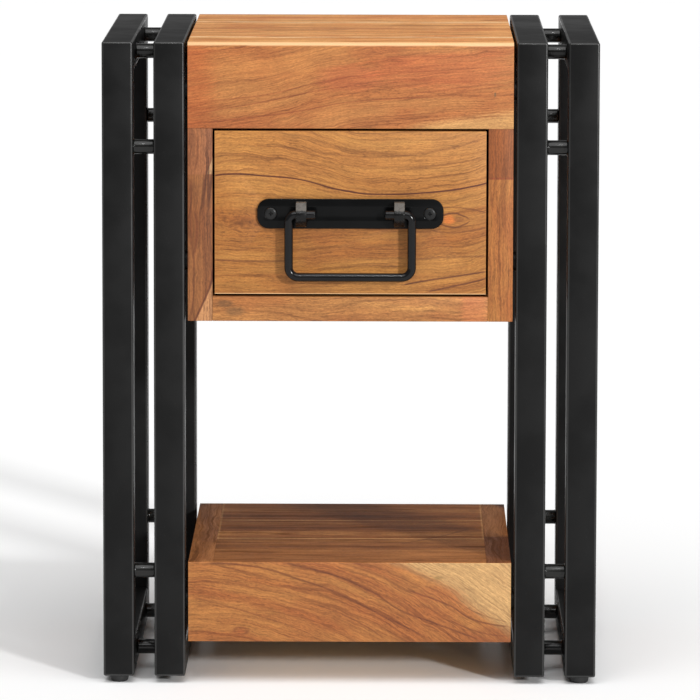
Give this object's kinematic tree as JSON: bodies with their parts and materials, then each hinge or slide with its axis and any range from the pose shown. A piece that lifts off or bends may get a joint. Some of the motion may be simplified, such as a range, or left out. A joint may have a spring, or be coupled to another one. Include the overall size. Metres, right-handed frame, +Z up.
{
  "type": "side table",
  "caption": "Bedside table with a wooden drawer cabinet and lower shelf held between twin-loop square-tube steel side frames, with a drop-bail drawer handle.",
  "frame": {"origin": "on the floor under the centre of the whole box, the closed drawer's handle included", "axes": "+Z up, front with the drawer towards -Y, +X to the right as seen from the front"},
  "size_m": [0.4, 0.317, 0.523],
  "materials": {
    "frame_steel": "black powder coat, semi-matt",
    "handle_steel": "black lacquered steel, satin",
    "screw_steel": "blackened steel, satin",
    "foot_plastic": "black moulded plastic",
    "top_acacia": "reddish acacia, satin lacquer",
    "cabinet_acacia": "reddish-brown acacia, satin lacquer",
    "drawer_acacia": "golden acacia, satin lacquer",
    "shelf_acacia": "orange-brown acacia, satin lacquer",
    "inner_wood": "pale unlacquered boards inside and behind"
  },
  "bodies": {
    "table": {"left_outer_front_leg": "frame_steel", "left_outer_back_leg": "frame_steel", "left_outer_top_rail": "frame_steel", "left_outer_bottom_rail": "frame_steel", "left_inner_front_leg": "frame_steel", "left_inner_back_leg": "frame_steel", "left_inner_top_rail": "frame_steel", "left_inner_bottom_rail": "frame_steel", "left_rod_front_upper": "frame_steel", "left_rod_front_lower": "frame_steel", "left_rod_back_upper": "frame_steel", "left_rod_back_lower": "frame_steel", "left_rod_top_front": "frame_steel", "left_rod_top_back": "frame_steel", "left_rod_bottom_front": "frame_steel", "left_rod_bottom_back": "frame_steel", "left_front_foot": "foot_plastic", "left_back_foot": "foot_plastic", "right_outer_front_leg": "frame_steel", "right_outer_back_leg": "frame_steel", "right_outer_top_rail": "frame_steel", "right_outer_bottom_rail": "frame_steel", "right_inner_front_leg": "frame_steel", "right_inner_back_leg": "frame_steel", "right_inner_top_rail": "frame_steel", "right_inner_bottom_rail": "frame_steel", "right_rod_front_upper": "frame_steel", "right_rod_front_lower": "frame_steel", "right_rod_back_upper": "frame_steel", "right_rod_back_lower": "frame_steel", "right_rod_top_front": "frame_steel", "right_rod_top_back": "frame_steel", "right_rod_bottom_front": "frame_steel", "right_rod_bottom_back": "frame_steel", "right_front_foot": "foot_plastic", "right_back_foot": "foot_plastic", "top_front_board": "top_acacia", "top_back_board": "top_acacia", "top_panel": "top_acacia", "cabinet_left_side": "cabinet_acacia", "cabinet_right_side": "cabinet_acacia", "cabinet_bottom": "cabinet_acacia", "cabinet_back": "inner_wood", "shelf_front_board": "shelf_acacia", "shelf_back_board": "shelf_acacia", "shelf_left_end": "shelf_acacia", "shelf_right_end": "shelf_acacia", "shelf_panel": "shelf_acacia", "shelf_underside": "inner_wood"},
    "drawer": {"drawer_front": "drawer_acacia", "drawer_left_side": "inner_wood", "drawer_right_side": "inner_wood", "drawer_back": "inner_wood", "drawer_floor": "inner_wood", "handle_plate": "handle_steel", "handle_left_eye": "handle_steel", "handle_right_eye": "handle_steel", "handle_left_screw": "screw_steel", "handle_right_screw": "screw_steel"},
    "bail": {"handle_bail": "handle_steel"}
  },
  "joints": [
    {"name": "drawer_slide", "type": "slide", "parent": "table", "child": "drawer", "axis": [0, -1, 0], "range_m": [0, 0.2]},
    {"name": "bail_swing", "type": "hinge", "parent": "drawer", "child": "bail", "pos_m": [0, -0.152, 0.385], "axis": [-1, 0, 0], "range_deg": [-7, 173]}
  ]
}
